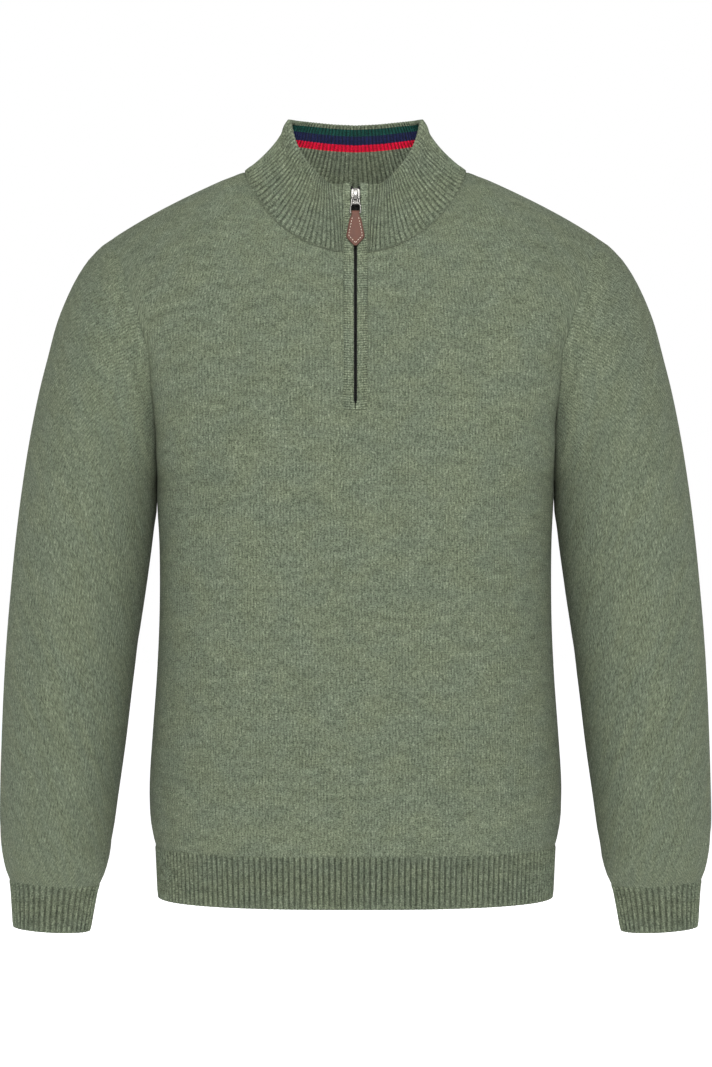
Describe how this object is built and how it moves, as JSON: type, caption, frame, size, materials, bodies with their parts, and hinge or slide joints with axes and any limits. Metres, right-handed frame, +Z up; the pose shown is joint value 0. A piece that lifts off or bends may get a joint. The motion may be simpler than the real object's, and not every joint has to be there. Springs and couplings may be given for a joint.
{
  "type": "quarter zip sweater",
  "caption": "Long sleeved sweater with a ribbed stand collar, a short front zip and ribbed cuffs and hem, filled out as worn and hollow inside.",
  "frame": {"origin": "middle of the line between the two points where the shoulder seams meet the collar, where the wearer's shoulders hold the garment", "axes": "+Z up, the front faces -Y, +X is the wearer's left"},
  "size_m": [0.684, 0.2606, 0.7869],
  "materials": {
    "sage_jersey": "soft heathered lambswool jersey",
    "sage_rib": "soft heathered lambswool rib",
    "zip_black": "woven tape and coil teeth",
    "nickel": "polished nickel",
    "brown_leather": "satin leather with cream stitching"
  },
  "bodies": {
    "garment": {"front_panel": "sage_jersey", "back_panel": "sage_jersey", "left_sleeve": "sage_jersey", "right_sleeve": "sage_jersey", "left_cuff": "sage_rib", "right_cuff": "sage_rib", "front_hem_rib": "sage_rib", "back_hem_rib": "sage_rib", "collar": "sage_rib", "left_zip_binding": "sage_rib", "right_zip_binding": "sage_rib", "left_zip_tape": "zip_black", "right_zip_tape": "zip_black", "zip_chain": "zip_black", "zip_slider": "nickel"},
    "puller": {"puller_frame": "nickel"},
    "tab": {"leather_tab": "brown_leather"}
  },
  "joints": [
    {"name": "puller_swing", "type": "hinge", "parent": "garment", "child": "puller", "pos_m": [0, -0.08107, -0.03487], "axis": [-1, 0, 0], "range_deg": [0, 145]},
    {"name": "tab_swing", "type": "hinge", "parent": "puller", "child": "tab", "pos_m": [0, -0.08269, -0.04978], "axis": [-1, 0, 0], "range_deg": [0, 90]}
  ]
}
